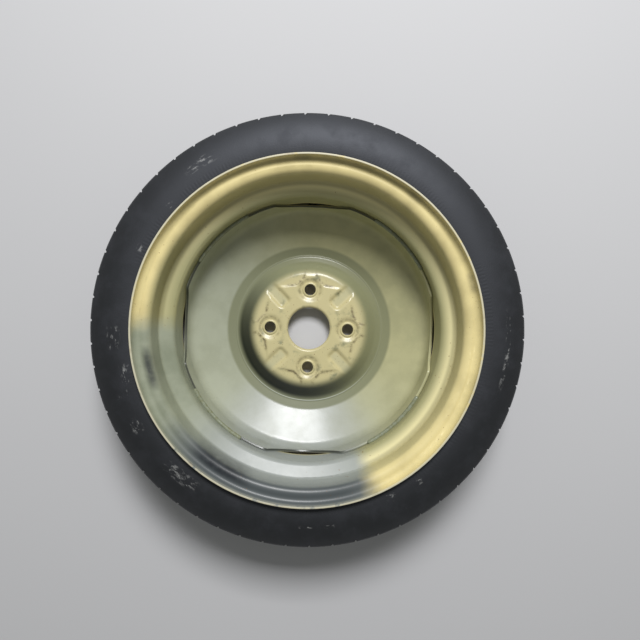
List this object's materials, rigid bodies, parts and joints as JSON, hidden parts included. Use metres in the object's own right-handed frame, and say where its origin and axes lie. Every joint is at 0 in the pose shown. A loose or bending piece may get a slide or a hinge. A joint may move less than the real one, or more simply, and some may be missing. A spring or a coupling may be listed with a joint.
{
  "type": "spare wheel",
  "caption": "Temporary-use spare wheel: narrow hollow tyre on a painted pressed-steel rim and dished disc with a stamped hub, bolt holes, centre bore and snap-in valve.",
  "frame": {"origin": "wheel centre: on the axis, halfway between the rim's flanges", "axes": "+Z along the wheel axis, pointing inboard (up as it lies on its outboard lip); +Y through the valve and one bolt hole"},
  "size_m": [0.5026, 0.5026, 0.1236],
  "materials": {
    "tyre": "dusty matte with white scuffs",
    "rim_paint": "worn cream paint over grey-green primer",
    "disc_paint": "glossy grey-green primer with cream overspray",
    "weld": "painted over",
    "valve_rubber": "matte",
    "brass": "machined",
    "seal": "matte",
    "spring_steel": "drawn wire",
    "cap_plastic": "matte"
  },
  "bodies": {
    "wheel": {"tyre": "tyre", "rim": "rim_paint", "disc": "disc_paint", "weld_beads": "weld", "valve_grommet": "valve_rubber", "valve_stem": "brass", "core_plug": "brass", "core_barrel": "brass", "core_gasket": "seal", "core_spring": "spring_steel"},
    "valve_plunger": {"core_pin": "brass", "core_cup": "brass", "core_seal": "valve_rubber"},
    "cap": {"valve_cap": "cap_plastic"}
  },
  "joints": [
    {"name": "cap_off", "type": "slide", "parent": "wheel", "child": "cap", "axis": [0, -0.5797, -0.8149], "range_m": [0, 0.01]},
    {"name": "pin_press", "type": "slide", "parent": "wheel", "child": "valve_plunger", "axis": [0, 0.5797, 0.8149], "range_m": [0, 0.0008], "stiffness_N_per_m": 800, "springref_m": -0.004, "deforming": ["core_spring"]}
  ]
}
